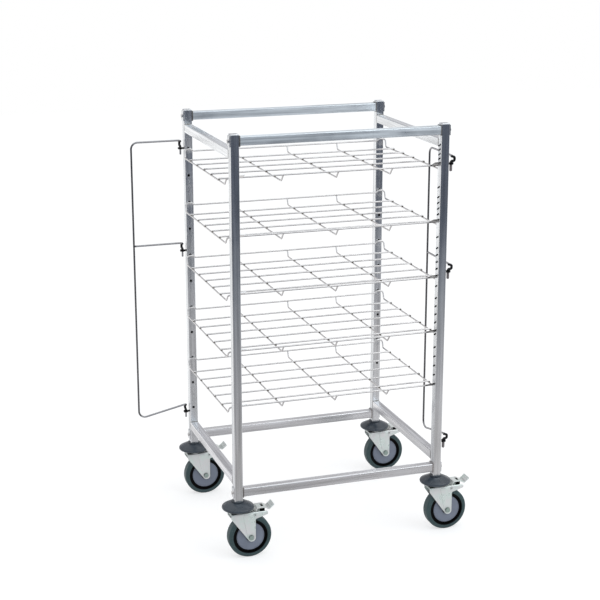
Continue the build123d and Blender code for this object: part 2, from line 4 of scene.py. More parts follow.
import bmesh
import bpy
import numpy as np
from bpy.props import FloatProperty, FloatVectorProperty, PointerProperty
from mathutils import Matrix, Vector


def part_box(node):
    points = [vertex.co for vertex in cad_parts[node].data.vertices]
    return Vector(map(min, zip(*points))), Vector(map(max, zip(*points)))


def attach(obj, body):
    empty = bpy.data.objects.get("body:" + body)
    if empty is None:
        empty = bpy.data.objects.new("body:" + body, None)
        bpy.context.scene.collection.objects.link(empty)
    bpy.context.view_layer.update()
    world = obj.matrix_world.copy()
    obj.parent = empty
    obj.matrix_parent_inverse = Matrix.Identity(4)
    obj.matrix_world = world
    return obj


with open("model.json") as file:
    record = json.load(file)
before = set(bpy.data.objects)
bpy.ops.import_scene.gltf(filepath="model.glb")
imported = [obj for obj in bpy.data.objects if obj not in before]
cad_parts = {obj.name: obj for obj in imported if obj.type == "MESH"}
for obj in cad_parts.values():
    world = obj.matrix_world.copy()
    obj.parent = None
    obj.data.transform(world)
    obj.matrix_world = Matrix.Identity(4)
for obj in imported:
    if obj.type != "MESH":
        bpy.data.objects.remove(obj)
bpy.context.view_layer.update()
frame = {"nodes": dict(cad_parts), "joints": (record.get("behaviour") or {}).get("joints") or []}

bl_info = {
    "name": "Tray rack trolley",
    "version": (1, 0, 0),
    "blender": (4, 5, 0),
    "location": "3D View > Sidebar > Trolley",
    "description": "Finishes, welds, small fittings and studio of a tray rack trolley",
    "category": "Object",
}

CORNERS = ("front_left", "front_right", "rear_left", "rear_right")
JOINTS = {joint["name"]: joint for joint in frame["joints"]}
MM = 0.001


def linear(hex_colour):
    """Linear red, green and blue of an sRGB hex colour."""
    srgb = np.array([int(hex_colour[k:k + 2], 16) for k in (1, 3, 5)]) / 255
    return tuple(np.where(srgb <= 0.04045, srgb / 12.92, ((srgb + 0.055) / 1.055) ** 2.4))


def colour_prop(name, description, hex_colour):
    """Colour setting whose default is an sRGB hex colour."""
    return FloatVectorProperty(name=name, description=description, subtype="COLOR", min=0, max=1,
                               default=linear(hex_colour))


def length_prop(name, description, millimetres):
    """Length setting whose default is given in millimetres."""
    return FloatProperty(name=name, description=description, unit="LENGTH", precision=4, min=0,
                         default=millimetres * MM)


class TrolleyFinishes(bpy.types.PropertyGroup):
    """Colours of the trolley's metals, rubbers and plastics"""
    tube: colour_prop("Tube", "Polished stainless tube", "#eff1f3")
    # the top rails' bluish tint and the bottom rails' own tint are painted reflection: one polished tube,
    # tinted apart to stand in for what each rail mirrors
    high_rail: colour_prop("Top rails", "Polished stainless tube of the top cross rails", "#e8eff4")
    low_rail: colour_prop("Bottom rails", "Polished stainless tube, dulled near the floor", "#efeff1")
    wire: colour_prop("Shelf wire", "Bright drawn stainless wire of the shelves", "#e2e0df")
    gate: colour_prop("Gate wire", "Drawn stainless wire of the gates' arms", "#b5b4b6")
    zinc: colour_prop("Zinc", "Bright zinc plate of the casters", "#eef0ee")
    axle: colour_prop("Axle", "Duller zinc plate of the axle bolts", "#a3b1aa")
    oxide: colour_prop("Weld oxide", "Dark skin left by spot welding", "#2b2826")
    brushed: colour_prop("Brushed welds", "Spot welds on the left, brushed clean", "#77787b")
    bead: colour_prop("Weld beads", "Brushed beads at the ends of the side rails", "#8b8d90")
    bumper: colour_prop("Bumper", "Moulded rubber of the corner bumpers", "#323c46")
    tyre: colour_prop("Tyre", "Moulded rubber of the tyres", "#3c5052")
    nylon: colour_prop("Black nylon", "Wheel centres, eyes, slip rings and pedal buffers", "#060607")
    cover: colour_prop("Wheel cover", "Moulded grey nylon of the wheel covers", "#7d8391")
    # the curls' sleeve colour is partly painted shade, standing in for the shade on the curls
    vinyl: colour_prop("Vinyl", "Dipped sleeve on the curls of the gates", "#101113")
    grey_vinyl: colour_prop("Grey vinyl", "Dipped sleeve on the right gate's pins", "#7d7677")


class TrolleySizes(bpy.types.PropertyGroup):
    """Sizes of the welds, sleeves and mouldings added to the CAD pieces"""
    cross_spacing: length_prop("Cross wires", "Spacing of a shelf's cross wires", 164)
    long_spacing: length_prop("Long wires", "Spacing of a shelf's long wires", 79)
    long_shift: length_prop("Long wires' shift", "Long wires' middle behind the middle of the rack", 3)
    side_wire: length_prop("Side wires", "Side wires from the middle of the rack", 328)
    weld_height: length_prop("Weld height", "Welds above the lowest point of a shelf", 5)
    nugget: length_prop("Nugget", "Half width of a spot weld", 3.4)
    tube_corner: length_prop("Tube corner", "Corner radius of the square tube", 2.5)
    bead: length_prop("Weld bead", "Radius of the bead at the ends of the side rails", 1.5)
    ripple: length_prop("Bead ripple", "Spacing of the ripples in a weld bead", 2.6)
    gate_wire: length_prop("Gate wire", "Radius of the gates' wire", 3)
    sleeve: length_prop("Sleeve", "Wall of the sleeve on a gate's curl", 0.8)
    sleeve_tail: length_prop("Sleeve tail", "Sleeve below the foot of its curl", 4.2)
    pin_sleeve: length_prop("Pin sleeve", "Radius of the sleeve on a gate's pin, below its eye", 4.1)
    pin_top: length_prop("Pin sleeve top", "Top of the pin's sleeve below the arm", 27.2)
    pin_end: length_prop("Pin sleeve end", "End of the pin's sleeve below the arm", 47)
    curl_out: length_prop("Curl", "Bulge of the curl above a gate's pin", 11)
    curl_rise: length_prop("Curl foot", "Foot of the curl below its arm", 17)
    curl_shoulder: length_prop("Curl shoulder", "Shoulder of the curl below its arm", 6)
    curl_bend: length_prop("Curl bend", "Bend radius of the curl", 4)
    gate_arms: FloatVectorProperty(name="Gate arms", description="Heights of a gate's arms", unit="LENGTH",
                                   default=(1.1555, 0.8355, 0.3075))
    crown_radius: length_prop("Bolt crown", "Radius of the crown on a rail bolt's head", 4.6)
    crown_height: length_prop("Bolt crown's height", "Height of the crown on a rail bolt's head", 0.9)
    cover_bead: length_prop("Cover bead", "Radius of the bead round a wheel cover", 0.9)
    bead_inset: length_prop("Cover bead's inset", "Bead inside the edge of its cover", 1.4)
    cover_depth: length_prop("Cover depth", "Edge of a cover inside the tyre's side", 2)
    band_radius: length_prop("Tyre band", "Radius of the moulded band on a tyre's side", 56)
    band_width: length_prop("Tyre band's width", "Half width of the band", 1.6)
    band_height: length_prop("Tyre band's height", "Height of the band above the tyre's side", 0.6)
    lip_radius: length_prop("Rim lip", "Radius of the black lip inside the tyre", 50.6)
    lip_width: length_prop("Rim lip's width", "Half width of the lip", 1.7)
    lip_height: length_prop("Rim lip's height", "Height of the lip above the tyre's side", 0.7)
    buffer: FloatVectorProperty(name="Buffer", unit="LENGTH", default=(0.008, 0.0125, 0.00745),
                                description="Half length, width and height of the buffer in a pedal's hood")
    buffer_place: FloatVectorProperty(name="Buffer's place", unit="LENGTH", default=(0.025, 0.0, 0.00895),
                                      description="Middle of the buffer from the pedal's pivot")


class TrolleyStudio(bpy.types.PropertyGroup):
    """Camera, light and floor of the studio"""
    place: FloatVectorProperty(name="Camera", description="Place of the camera", subtype="TRANSLATION",
                               unit="LENGTH", default=(-1.4137, -4.0693, 1.8749))
    aim: FloatVectorProperty(name="Aim", description="Direction of view", subtype="DIRECTION",
                             default=(0.3091, 0.9132, -0.2656))
    focal: FloatProperty(name="Focal length", description="Focal length of the lens on a 36 mm sensor",
                         unit="CAMERA", default=88.2)
    key: FloatProperty(name="Key light", description="Power of the key light", unit="POWER", default=55)
    key_size: FloatProperty(name="Key light's size", description="Side of the square key light",
                            unit="LENGTH", default=4.2)
    key_place: FloatVectorProperty(name="Key light's place", description="Middle of the key light",
                                   subtype="TRANSLATION", unit="LENGTH", default=(2.6, -2.6, 3.4))
    floor: colour_prop("Floor", "Pale floor", "#f4f4f4")
    dusk: colour_prop("Dark side", "Dark low band on the camera's side, as metal mirrors it", "#565c68")


class TrolleySettings(bpy.types.PropertyGroup):
    """Settings of the trolley, by kind"""
    finishes: PointerProperty(type=TrolleyFinishes)
    sizes: PointerProperty(type=TrolleySizes)
    studio: PointerProperty(type=TrolleyStudio)


def node(tree, kind, inputs=None, **settings):
    """Add one node, apply its settings, and set or link its inputs by name or number."""
    made = tree.nodes.new(kind)
    for name, value in settings.items():
        setattr(made, name, value)
    for key, value in (inputs or {}).items():
        if isinstance(value, bpy.types.NodeSocket):
            tree.links.new(value, made.inputs[key])
        else:
            made.inputs[key].default_value = value
    return made


def blank_material(name):
    """Empty material with its shader linked to the output; gives the material, its tree and the shader."""
    material = bpy.data.materials.new(name)
    material.use_nodes = True
    tree = material.node_tree
    tree.nodes.clear()
    shader = node(tree, "ShaderNodeBsdfPrincipled")
    node(tree, "ShaderNodeOutputMaterial", {"Surface": shader.outputs["BSDF"]})
    return material, tree, shader


def polished_tube(name, colour, length_axis, middle, rough, bulge, end_shade=None):
    """Stainless tube polished along its length: fine lengthwise lines and broader belt streaks that draw
    reflections out sideways, faces slightly crowned, so that what they mirror shades off towards the edges,
    and, when an end shade is given, painted shade at the ends, darkening the tube where it meets a post.  The
    middle is that of the tube at the rear or right; the signs of a point turn it into that of its twin.  The
    end shade is where the painted shade starts and is full, in millimetres from the middle of the tube, and
    its colour."""
    material, tree, shader = blank_material(name)
    place = node(tree, "ShaderNodeTexCoord").outputs["Object"]
    along = "XYZ".index(length_axis)
    line, streak, crown = np.full(3, 1 / (3 * MM)), np.full(3, 1 / (8 * MM)), np.full(3, bulge)
    line[along], streak[along], crown[along] = 1 / (220 * MM), 1 / (300 * MM), 0.0
    # polishing lines are finer than 3 mm, but that is the least that shows
    lines_at = node(tree, "ShaderNodeMapping", {"Vector": place, "Scale": tuple(line)})
    lines = node(tree, "ShaderNodeTexNoise", {"Vector": lines_at.outputs[0], "Scale": 1.0, "Detail": 2.0})
    streaks_at = node(tree, "ShaderNodeMapping", {"Vector": place, "Scale": tuple(streak)})
    streaks = node(tree, "ShaderNodeTexNoise", {"Vector": streaks_at.outputs[0], "Scale": 1.0, "Detail": 3.0})
    smear = node(tree, "ShaderNodeTexNoise", {"Vector": place, "Scale": 1 / (70 * MM), "Detail": 4.0})
    both = node(tree, "ShaderNodeMath", {0: streaks.outputs["Fac"], 1: smear.outputs["Fac"]}, operation="ADD")
    gloss = node(tree, "ShaderNodeMapRange", {"Value": both.outputs[0], "From Min": 0.7, "From Max": 1.3,
                                              "To Min": rough[0], "To Max": rough[1]})
    worked = node(tree, "ShaderNodeMath", {0: lines.outputs["Fac"], 1: 0.35, 2: streaks.outputs["Fac"]},
                  operation="MULTIPLY_ADD")
    shade = node(tree, "ShaderNodeMapRange", {"Value": worked.outputs[0], "From Min": 0.5, "From Max": 0.85})
    tint = node(tree, "ShaderNodeMix", {0: shade.outputs["Result"], 6: (*(0.72 * c for c in colour), 1),
                                        7: (*(min(1.0, 1.1 * c) for c in colour), 1)}, data_type="RGBA")
    # painted shade at the ends, where the tube meets its post
    if end_shade:
        parts = node(tree, "ShaderNodeSeparateXYZ", {0: place})
        ends = node(tree, "ShaderNodeMath", {0: parts.outputs[along]}, operation="ABSOLUTE")
        end_shading = node(tree, "ShaderNodeMapRange", {"Value": ends.outputs[0], "From Min": end_shade[0] * MM,
                                                  "From Max": end_shade[1] * MM, "To Max": 0.85},
                     interpolation_type="SMOOTHSTEP")
        tint = node(tree, "ShaderNodeMix", {0: end_shading.outputs["Result"], 6: tint.outputs[2],
                                            7: (*linear(end_shade[2]), 1)}, data_type="RGBA")
    side = node(tree, "ShaderNodeVectorMath", {0: place}, operation="SIGN")
    off_axis = node(tree, "ShaderNodeVectorMath", {0: side.outputs[0], 1: tuple(-c for c in middle),
                                                   2: place}, operation="MULTIPLY_ADD")
    crowned = node(tree, "ShaderNodeVectorMath", {0: off_axis.outputs[0], 1: tuple(crown),
                                                  2: node(tree, "ShaderNodeNewGeometry").outputs["Normal"]},
                   operation="MULTIPLY_ADD")
    rounded = node(tree, "ShaderNodeVectorMath", {0: crowned.outputs[0]}, operation="NORMALIZE")
    waver = node(tree, "ShaderNodeTexNoise", {"Vector": place, "Scale": 1 / (60 * MM), "Detail": 1.0})
    wavy = node(tree, "ShaderNodeBump", {"Height": waver.outputs["Fac"], "Strength": 0.3,
                                         "Distance": 0.8 * MM, "Normal": rounded.outputs[0]})
    lined = node(tree, "ShaderNodeBump", {"Height": lines.outputs["Fac"], "Strength": 0.15,
                                          "Distance": 0.03 * MM, "Normal": wavy.outputs["Normal"]})
    across = node(tree, "ShaderNodeTangent", direction_type="RADIAL", axis=length_axis)
    tree.links.new(tint.outputs[2], shader.inputs["Base Color"])
    tree.links.new(gloss.outputs["Result"], shader.inputs["Roughness"])
    tree.links.new(lined.outputs["Normal"], shader.inputs["Normal"])
    tree.links.new(across.outputs["Tangent"], shader.inputs["Tangent"])
    shader.inputs["Metallic"].default_value = 1.0
    shader.inputs["Anisotropic"].default_value = 0.85
    return material


def drawn_wire(name, colour, stain=None):
    """Bright drawn stainless wire: an even gloss with faint drawing marks and a few duller patches.  A stain
    takes the tree, the point's coordinates and the bright colour, and gives the colour to use instead."""
    material, tree, shader = blank_material(name)
    place = node(tree, "ShaderNodeTexCoord").outputs["Object"]
    marks = node(tree, "ShaderNodeTexNoise", {"Vector": place, "Scale": 1 / (3 * MM), "Detail": 4.0})
    patch = node(tree, "ShaderNodeTexNoise", {"Vector": place, "Scale": 1 / (60 * MM), "Detail": 2.0})
    gloss = node(tree, "ShaderNodeMapRange", {"Value": patch.outputs["Fac"], "From Min": 0.3, "From Max": 0.7,
                                              "To Min": 0.2, "To Max": 0.36})
    tint = node(tree, "ShaderNodeMix", {0: marks.outputs["Fac"], 6: (*(0.82 * c for c in colour), 1),
                                        7: (*(min(1.0, 1.12 * c) for c in colour), 1)}, data_type="RGBA")
    bump = node(tree, "ShaderNodeBump", {"Height": marks.outputs["Fac"], "Strength": 0.15,
                                         "Distance": 0.05 * MM})
    if stain:
        tint = stain(tree, node(tree, "ShaderNodeSeparateXYZ", {0: place}).outputs, tint.outputs[2])
    tree.links.new(tint.outputs[2], shader.inputs["Base Color"])
    tree.links.new(gloss.outputs["Result"], shader.inputs["Roughness"])
    tree.links.new(bump.outputs["Normal"], shader.inputs["Normal"])
    shader.inputs["Metallic"].default_value = 1.0
    return material


def shelf_wire(name, colour, oxide):
    """Drawn wire with painted shade, in the weld oxide colour, at the ends of the front wires beside the
    right post.
    """
    # millimetres along an axis at which the painted shade starts and is full
    shaded_zones = (("X", 276, 286, "SMOOTHSTEP"), ("Y", -222, -230, "SMOOTHSTEP"), ("X", 318, 312, "LINEAR"))

    def shade_front_ends(tree, parts, bright):
        dark = 1.0
        for axis, start, full, step in shaded_zones:
            zone = node(tree, "ShaderNodeMapRange", {"Value": parts[axis], "From Min": start * MM,
                                                     "From Max": full * MM}, interpolation_type=step)
            dark = node(tree, "ShaderNodeMath", {0: dark, 1: zone.outputs["Result"]},
                        operation="MULTIPLY").outputs[0]
        return node(tree, "ShaderNodeMix", {0: dark, 6: bright, 7: (*oxide, 1)}, data_type="RGBA")

    return drawn_wire(name, colour, shade_front_ends)


def gate_wire(name, colour, across, start, full):
    """Drawn wire of a gate with painted shade on the upright: its colour is darkened, standing in for the
    darker reflection it takes, while the arms keep the bright colour.  The painted shade starts and is full
    at the two given places along the axis across the gate."""
    # painted shade: the colour that the upright's wire is multiplied by
    upright_shade = (*linear("#a8a8a8"), 1)

    def dull(tree, parts, bright):
        zone = node(tree, "ShaderNodeMapRange", {"Value": parts[across], "From Min": start, "From Max": full})
        return node(tree, "ShaderNodeMix", {0: zone.outputs["Result"], 6: bright, 7: upright_shade},
                    data_type="RGBA", blend_type="MULTIPLY")

    return drawn_wire(name, colour, dull)


def weld_oxide(name, colour):
    """Weld metal under its oxide: dark and dull, with straw coloured patches where it is thin."""
    material, tree, shader = blank_material(name)
    place = node(tree, "ShaderNodeTexCoord").outputs["Object"]
    blotch = node(tree, "ShaderNodeTexNoise", {"Vector": place, "Scale": 1 / (2.5 * MM), "Detail": 5.0})
    tint = node(tree, "ShaderNodeMix", {0: blotch.outputs["Fac"], 6: (*colour, 1),
                                        7: (*linear("#8d8474"), 1)}, data_type="RGBA")
    gloss = node(tree, "ShaderNodeMapRange", {"Value": blotch.outputs["Fac"], "To Min": 0.62, "To Max": 0.36})
    bump = node(tree, "ShaderNodeBump", {"Height": blotch.outputs["Fac"], "Strength": 0.4,
                                         "Distance": 0.2 * MM})
    tree.links.new(tint.outputs[2], shader.inputs["Base Color"])
    tree.links.new(gloss.outputs["Result"], shader.inputs["Roughness"])
    tree.links.new(bump.outputs["Normal"], shader.inputs["Normal"])
    shader.inputs["Metallic"].default_value = 0.7
    return material


def zinc_plate(name, colour):
    """Bright zinc on pressed steel: pale, with faint green and rosy clouds from the bath, the shallow orange
    peel of drawn sheet, rounded edges that catch the light, and painted shade in the nooks."""
    material, tree, shader = blank_material(name)
    place = node(tree, "ShaderNodeTexCoord").outputs["Object"]
    cloud = node(tree, "ShaderNodeTexNoise", {"Vector": place, "Scale": 1 / (22 * MM), "Detail": 3.0})
    peel = node(tree, "ShaderNodeTexNoise", {"Vector": place, "Scale": 1 / (2.2 * MM), "Detail": 2.0})
    bath = node(tree, "ShaderNodeMapRange", {"Value": cloud.outputs["Fac"], "From Min": 0.35,
                                             "From Max": 0.65})
    tint = node(tree, "ShaderNodeMix", {0: bath.outputs["Result"],
                                        6: (*np.multiply(colour, (0.92, 1.0, 0.965)), 1),
                                        7: (*np.multiply(colour, (0.98, 0.96, 0.965)), 1)}, data_type="RGBA")
    # painted shade in the nooks: ambient occlusion turns the colour towards a dark grey where other surfaces
    # come near
    nook = node(tree, "ShaderNodeAmbientOcclusion", {"Distance": 10 * MM}, samples=16)
    clean = node(tree, "ShaderNodeMapRange", {"Value": nook.outputs["AO"], "From Min": 0.3, "From Max": 0.9})
    nook_painted_shade = node(tree, "ShaderNodeMix", {0: clean.outputs["Result"], 6: (*linear("#2c3030"), 1),
                                          7: tint.outputs[2]}, data_type="RGBA")
    gloss = node(tree, "ShaderNodeMapRange", {"Value": cloud.outputs["Fac"], "From Min": 0.3, "From Max": 0.7,
                                              "To Min": 0.26, "To Max": 0.38})
    edges = node(tree, "ShaderNodeBevel", {"Radius": 0.7 * MM}, samples=8)
    bump = node(tree, "ShaderNodeBump", {"Height": peel.outputs["Fac"], "Strength": 0.2,
                                         "Distance": 0.12 * MM, "Normal": edges.outputs["Normal"]})
    tree.links.new(nook_painted_shade.outputs[2], shader.inputs["Base Color"])
    tree.links.new(gloss.outputs["Result"], shader.inputs["Roughness"])
    tree.links.new(bump.outputs["Normal"], shader.inputs["Normal"])
    shader.inputs["Metallic"].default_value = 0.4
    return material


def moulded(name, colour, grain, rough, scuff, shine):
    """Moulded rubber or nylon, or dipped vinyl: a fine pebbled grain of the given width in millimetres,
    clouds of slightly paler bloom, scuffs that lighten it in thin streaks, and painted shade in the nooks."""
    material, tree, shader = blank_material(name)
    place = node(tree, "ShaderNodeTexCoord").outputs["Object"]
    pebble = node(tree, "ShaderNodeTexVoronoi", {"Vector": place, "Scale": 1 / (grain * MM)})
    bloom = node(tree, "ShaderNodeTexNoise", {"Vector": place, "Scale": 1 / (30 * MM), "Detail": 4.0})
    streak_at = node(tree, "ShaderNodeMapping", {"Vector": place, "Rotation": (0.4, 0.2, 0.7),
                                                 "Scale": (1 / (25 * MM), 1 / (3 * MM), 1 / (3 * MM))})
    streak = node(tree, "ShaderNodeTexNoise", {"Vector": streak_at.outputs[0], "Scale": 1.0, "Detail": 5.0})
    worn = node(tree, "ShaderNodeMapRange", {"Value": streak.outputs["Fac"], "From Min": 0.6,
                                             "From Max": 0.75, "To Max": scuff})
    clouded = node(tree, "ShaderNodeMix", {0: bloom.outputs["Fac"], 6: (*(0.8 * c for c in colour), 1),
                                           7: (*(1.22 * c for c in colour), 1)}, data_type="RGBA")
    scuffed = node(tree, "ShaderNodeMix", {0: worn.outputs["Result"], 6: clouded.outputs[2],
                                           7: (*(0.8 * c + 0.08 for c in colour), 1)}, data_type="RGBA")
    # painted shade: ambient occlusion darkens the colour to a quarter of itself where other surfaces come
    # near
    nook = node(tree, "ShaderNodeAmbientOcclusion", {"Distance": 8 * MM}, samples=8)
    tint = node(tree, "ShaderNodeMix", {0: nook.outputs["AO"], 6: (*(0.25 * c for c in colour), 1),
                                        7: scuffed.outputs[2]}, data_type="RGBA")
    gloss = node(tree, "ShaderNodeMapRange", {"Value": bloom.outputs["Fac"], "From Min": 0.3, "From Max": 0.7,
                                              "To Min": rough - 0.07, "To Max": rough + 0.07})
    bump = node(tree, "ShaderNodeBump", {"Height": pebble.outputs["Distance"], "Strength": 0.25,
                                         "Distance": 0.08 * grain * MM})
    tree.links.new(tint.outputs[2], shader.inputs["Base Color"])
    tree.links.new(gloss.outputs["Result"], shader.inputs["Roughness"])
    tree.links.new(bump.outputs["Normal"], shader.inputs["Normal"])
    shader.inputs["Specular IOR Level"].default_value = shine
    return material


def coat(names, material):
    """Give the material to these CAD nodes."""
    for name in names:
        for slot in frame["nodes"][name].material_slots:
            slot.material = material


def grid_faces(rows, columns, close_rows=False, close_columns=False):
    """Quads of a grid of rows by columns points; a closed side joins its last line to its first."""
    row, column = np.meshgrid(np.arange(rows - (not close_rows)), np.arange(columns - (not close_columns)),
                              indexing="ij")
    next_row, next_column = (row + 1) % rows, (column + 1) % columns
    quads = (row * columns + column, row * columns + next_column,
             next_row * columns + next_column, next_row * columns + column)
    return np.stack(quads, -1).reshape(-1, 4)


def copies(points, faces, places):
    """One shape repeated at every place: each point plus each place."""
    count = np.arange(len(places))[:, None, None]
    return (points + places[:, None]).reshape(-1, 3), (faces + count * len(points)).reshape(-1, 4)


def joined(shapes):
    """Several shapes as one list of points and one of faces."""
    starts = np.cumsum([0] + [len(points) for points, _ in shapes[:-1]])
    return (np.concatenate([points for points, _ in shapes]),
            np.concatenate([faces + start for (_, faces), start in zip(shapes, starts)]))


def make_piece(name, shape, material, body):
    """Mesh object of one shape, welded at seams and poles, facing outwards and riding on a body."""
    mesh = bpy.data.meshes.new(name)
    points, faces = shape
    mesh.from_pydata(points.tolist(), [], faces.tolist())
    work = bmesh.new()
    work.from_mesh(mesh)
    bmesh.ops.remove_doubles(work, verts=work.verts, dist=1e-6)
    bmesh.ops.recalc_face_normals(work, faces=work.faces)
    work.to_mesh(mesh)
    work.free()
    mesh.shade_smooth()
    mesh.materials.append(material)
    piece = bpy.data.objects.new(name, mesh)
    bpy.context.scene.collection.objects.link(piece)
    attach(piece, body)


def nugget(half_width):
    """Spot weld squeezed out between two wires: an ellipsoid of longitude u and latitude v, a third longer
    along Y than wide and two thirds as high, whose width swells by a tenth four times round."""
    u, v = np.meshgrid(np.linspace(0, 2 * np.pi, 13), np.linspace(-np.pi / 2, np.pi / 2, 7), indexing="ij")
    reach = half_width * np.cos(v) * (1 + 0.1 * np.cos(4 * u))
    points = np.stack([reach * np.cos(u), 1.33 * reach * np.sin(u), 0.67 * half_width * np.sin(v)], -1)
    return points.reshape(-1, 3), grid_faces(*u.shape)


def crown(radius, height, out):
    """Crown of a bolt's head towards the side out of X: a paraboloid at angle u, whose height falls with the
    square of the distance from its middle, from the top at v = 0 to the edge at v = 1."""
    u, v = np.meshgrid(np.linspace(0, 2 * np.pi, 25), np.linspace(0, 1, 7), indexing="ij")
    reach = radius * np.sqrt(1 - (1 - v) ** 2)
    rise = out * (height * (1 - v) ** 2)
    points = np.stack([rise, reach * np.cos(u), reach * np.sin(u)], -1)
    return points.reshape(-1, 3), grid_faces(*u.shape)


def carried(path, radii, sides, up):
    """Round profile carried along a path: ring k lies at path point k, square to the path, with radius
    radii[k]; the ends close on their path points."""
    along = np.gradient(path, axis=0)
    along /= np.linalg.norm(along, axis=1, keepdims=True)
    side = np.cross(along, up)
    side /= np.linalg.norm(side, axis=1, keepdims=True)
    over = np.cross(side, along)
    angle = np.linspace(0, 2 * np.pi, sides + 1)[:-1]
    ring = side[:, None] * np.cos(angle)[:, None] + over[:, None] * np.sin(angle)[:, None]
    rings = path[:, None] + radii[:, None, None] * ring
    ends = [np.repeat(path[k:k + 1], sides, 0)[None] for k in (0, len(path) - 1)]
    points = np.concatenate([ends[0], rings, ends[1]])
    return points.reshape(-1, 3), grid_faces(len(path) + 2, sides, close_columns=True)


def bent_line(corners, bends, arc_points=12):
    """Line of straight runs joined by arcs: at each inner corner, a point at angle t of the arc lies at the
    tangent point plus bend times sin t along the run and bend times 1 - cos t towards the inside."""
    pieces = [corners[:1]]
    for before, corner, after, bend in zip(corners, corners[1:], corners[2:], bends):
        come = (corner - before) / np.linalg.norm(corner - before)
        leave = (after - corner) / np.linalg.norm(after - corner)
        turn = np.arccos(np.dot(come, leave))
        inward = leave - come * np.dot(come, leave)
        inward /= np.linalg.norm(inward)
        t = np.linspace(0, turn, arc_points)[:, None]
        start = corner - come * bend * np.tan(turn / 2)
        pieces.append(start + bend * (np.sin(t) * come + (1 - np.cos(t)) * inward))
    return np.concatenate(pieces + [corners[-1:]])


def turned(centre, radii, widths, steps=96):
    """Closed profile turned about an axle along Y: profile point k at angle u lies radii[k] from the axle
    and widths[k] along it."""
    u = np.linspace(0, 2 * np.pi, steps + 1)[:-1, None]
    along = np.broadcast_to(widths, (steps, len(widths)))
    points = np.stack([radii * np.cos(u), along, radii * np.sin(u)], -1)
    return points.reshape(-1, 3) + centre, grid_faces(steps, len(radii), True, True)


def rounded_block(half):
    """Block with rounded edges: a superellipsoid of longitude u and latitude v, whose sines and cosines are
    raised to the power 0.35 with their signs kept."""
    u, v = np.meshgrid(np.linspace(0, 2 * np.pi, 49), np.linspace(-np.pi / 2, np.pi / 2, 25), indexing="ij")
    wave = [np.sign(w) * np.abs(w) ** 0.35 for w in (np.cos(u), np.sin(u), np.cos(v), np.sin(v))]
    points = np.stack([half[0] * wave[0] * wave[2], half[1] * wave[1] * wave[2], half[2] * wave[3]], -1)
    return points.reshape(-1, 3), grid_faces(*u.shape)


def rail_bead(rail, end, sizes):
    """Weld bead round the end of a side rail: a round profile carried along the rail's square outline, which
    is a circle stretched, clipped to the square and pushed out by the corner radius; the bead's radius
    ripples along the way, and on the two faces flush with the post it is ground down."""
    low, high = (np.array(corner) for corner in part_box(rail))
    half = (high - low)[[0, 2]] / 2 - sizes.tube_corner
    s = np.linspace(0, 2 * np.pi, 161)[:-1]
    lift = np.stack([np.cos(s), np.sin(s)], -1)
    stretch, ground, swell = 1.6, 0.3, 0.18
    outline = np.clip(lift * stretch, -1, 1) * half + lift * sizes.tube_corner
    length = np.linalg.norm(np.diff(outline, axis=0, append=outline[:1]), axis=1)
    run = np.cumsum(length) - length
    # the flush faces with their corners
    flush = np.abs(outline[:, 0]) > half[0] + 1.2 * MM
    radius = sizes.bead * np.where(flush, ground, 1.0) * (1 + swell * np.sin(2 * np.pi * run / sizes.ripple))
    middle = (low + high) / 2
    y = high[1] if end > 0 else low[1]
    a = np.linspace(0, 2 * np.pi, 13)[:-1]
    outward = lift[:, None] * np.cos(a)[:, None] * radius[:, None, None]
    x, z = np.moveaxis(outline[:, None] + outward + middle[[0, 2]], -1, 0)
    points = np.stack([x, np.broadcast_to(y + radius[:, None] * np.sin(a), x.shape), z], -1)
    return points.reshape(-1, 3), grid_faces(len(s), len(a), True, True)


class TROLLEY_OT_tubes(bpy.types.Operator):
    """Polish the posts, rails and caps, and weld the side rails"""
    bl_idname = "trolley.tubes"
    bl_label = "Tubes and rail welds"

    def execute(self, context):
        finishes, sizes = context.scene.trolley.finishes, context.scene.trolley.sizes
        upright = polished_tube("polished stainless post", finishes.tube, "Z",
                                self.axis_of("post_rear_right"), rough=(0.2, 0.34), bulge=4.0)
        coat([f"post_{corner}" for corner in CORNERS] + ["washer_plates", "post_caps"], upright)
        # colours of the cross and side rails, gloss of the cross rails and colour of the painted shade at
        # their ends, where they meet the posts
        rails = {"top": (finishes.high_rail, finishes.tube, (0.27, 0.46), "#5f574f"),
                 "bottom": (finishes.low_rail, finishes.low_rail, (0.2, 0.34), "#938d89")}
        side_rails = []
        for level, (cross_colour, side_colour, rough, end_shading) in rails.items():
            cross = [f"rail_{level}_front", f"rail_{level}_rear"]
            coat(cross, polished_tube(f"polished stainless {level} cross rail", cross_colour, "X",
                                      self.axis_of(cross[1]), rough, bulge=1.0, end_shade=(295.5, 298, end_shading)))
            pair = [f"rail_{level}_left", f"rail_{level}_right"]
            # the side rails also get painted shade at their ends, where they meet the posts
            coat(pair, polished_tube(f"polished stainless {level} side rail", side_colour, "Y",
                                     self.axis_of(pair[1]), rough=(0.2, 0.32), bulge=2.0,
                                     end_shade=(236, 240, "#77736f")))
            side_rails += pair
        beads = joined([rail_bead(rail, end, sizes) for rail in side_rails for end in (-1, 1)])
        make_piece("side_rail_welds", beads, weld_oxide("brushed weld bead", finishes.bead), "frame")
        return {"FINISHED"}

    def axis_of(self, name):
        """Middle of a tube on the rear or right side."""
        low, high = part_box(name)
        return (low + high) / 2


